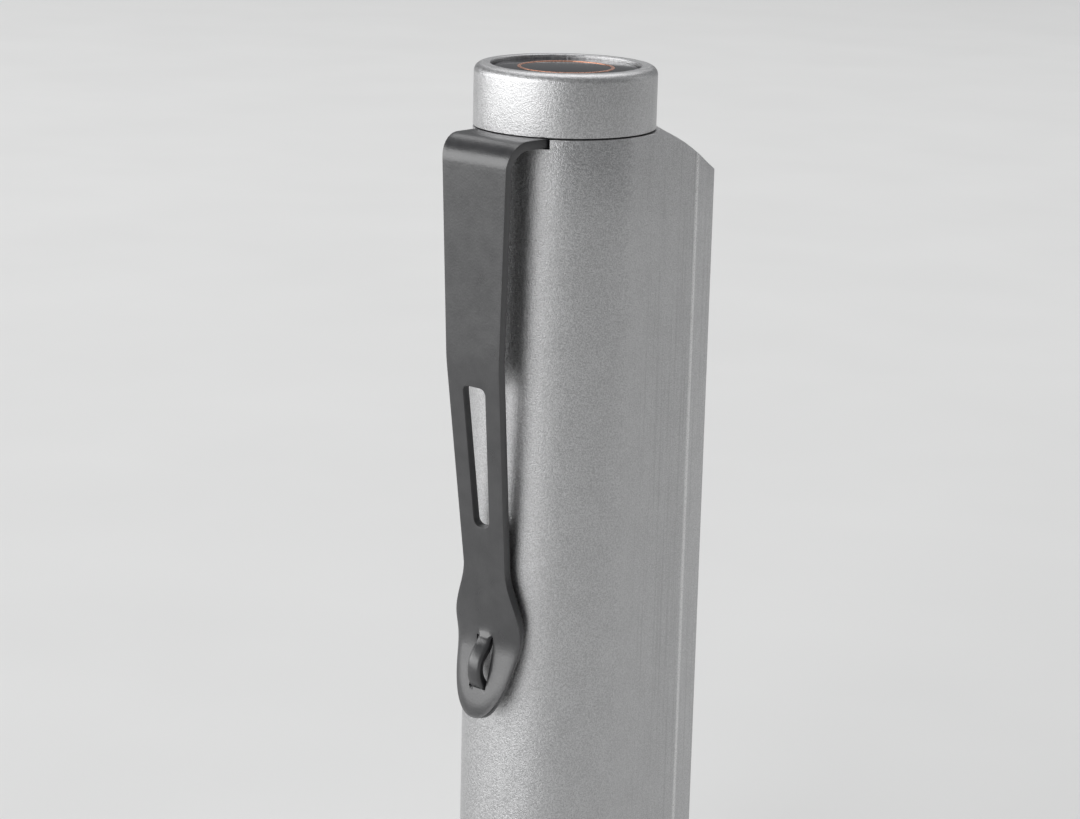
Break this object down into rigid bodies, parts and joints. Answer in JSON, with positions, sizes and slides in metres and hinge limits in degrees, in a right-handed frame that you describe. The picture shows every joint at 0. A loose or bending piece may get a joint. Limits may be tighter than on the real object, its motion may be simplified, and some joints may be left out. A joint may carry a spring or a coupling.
{
  "type": "pocket flashlight",
  "caption": "Pocket flashlight: round aluminium tube with a keel on one side, screw-on tail cap with a flat push button, deep-carry spring clip and a lens in a plain bezel.",
  "frame": {"origin": "on the tube's axis, in the plane of the bezel's face that the light stands on", "axes": "+Z along the tube from the bezel to the tail, -Y toward the clip, +Y toward the keel"},
  "size_m": [0.02, 0.0304, 0.1055],
  "materials": {
    "blasted_aluminium": "bead blasted, anodised clear",
    "coated_steel": "satin black coated spring steel",
    "dark_glass": "gloss black",
    "plain_aluminium": "turned",
    "clear_glass": "clear",
    "mirror_coat": "smooth vacuum-metallised",
    "black_rubber": "moulded",
    "black_plastic": "moulded",
    "white_plastic": "moulded",
    "brass": "turned",
    "spring_steel": "nickel plated wire",
    "circuit_board": "green solder mask",
    "white_board": "white solder mask on an aluminium core",
    "phosphor": "yellow phosphor under clear silicone",
    "cell_wrap": "plain shrink wrap",
    "copper_wire": "tinned copper"
  },
  "bodies": {
    "tube": {"body_tube": "blasted_aluminium", "bezel_ring": "blasted_aluminium", "front_lens": "clear_glass", "lens_seal": "black_rubber", "reflector": "mirror_coat", "led_gasket": "white_plastic", "led_emitter": "phosphor", "led_board": "white_board", "led_screw_left": "spring_steel", "led_screw_right": "spring_steel", "led_lead_front": "copper_wire", "led_lead_back": "copper_wire", "light_engine_pill": "brass", "driver_board": "circuit_board", "driver_chip": "black_plastic", "driver_coil": "black_plastic", "contact_spring": "spring_steel", "cell": "cell_wrap"},
    "cap_ring": {"cap_seal": "black_rubber"},
    "cap": {"tail_cap": "blasted_aluminium", "switch_body": "black_plastic", "switch_board": "circuit_board", "switch_ring": "brass", "tail_spring": "spring_steel", "stem_seal": "black_rubber"},
    "button": {"button_disc": "dark_glass", "button_stem": "plain_aluminium", "stem_retainer": "spring_steel", "switch_actuator": "white_plastic"},
    "clip": {"pocket_clip": "coated_steel"}
  },
  "joints": [
    {"name": "cap_lift", "type": "slide", "parent": "tube", "child": "cap_ring", "axis": [0, 0, 1], "range_m": [0, 0.005]},
    {"name": "cap_turn", "type": "hinge", "parent": "cap_ring", "child": "cap", "pos_m": [0, 0, 0.09887], "axis": [0, 0, 1], "range_deg": [0, 1800]},
    {"name": "button_press", "type": "slide", "parent": "cap", "child": "button", "axis": [0, 0, -1], "range_m": [0, 0.001], "stiffness_N_per_m": 1500, "springref_m": -0.001},
    {"name": "clip_flex", "type": "hinge", "parent": "tube", "child": "clip", "pos_m": [0, -0.0097, 0.09807], "axis": [-1, 0, 0], "range_deg": [0, 4], "stiffness_Nm_per_rad": 12}
  ],
  "couplings": [
    {"joint": "cap_turn", "follows": "cap_lift", "rad_per_m": 6283.2}
  ]
}
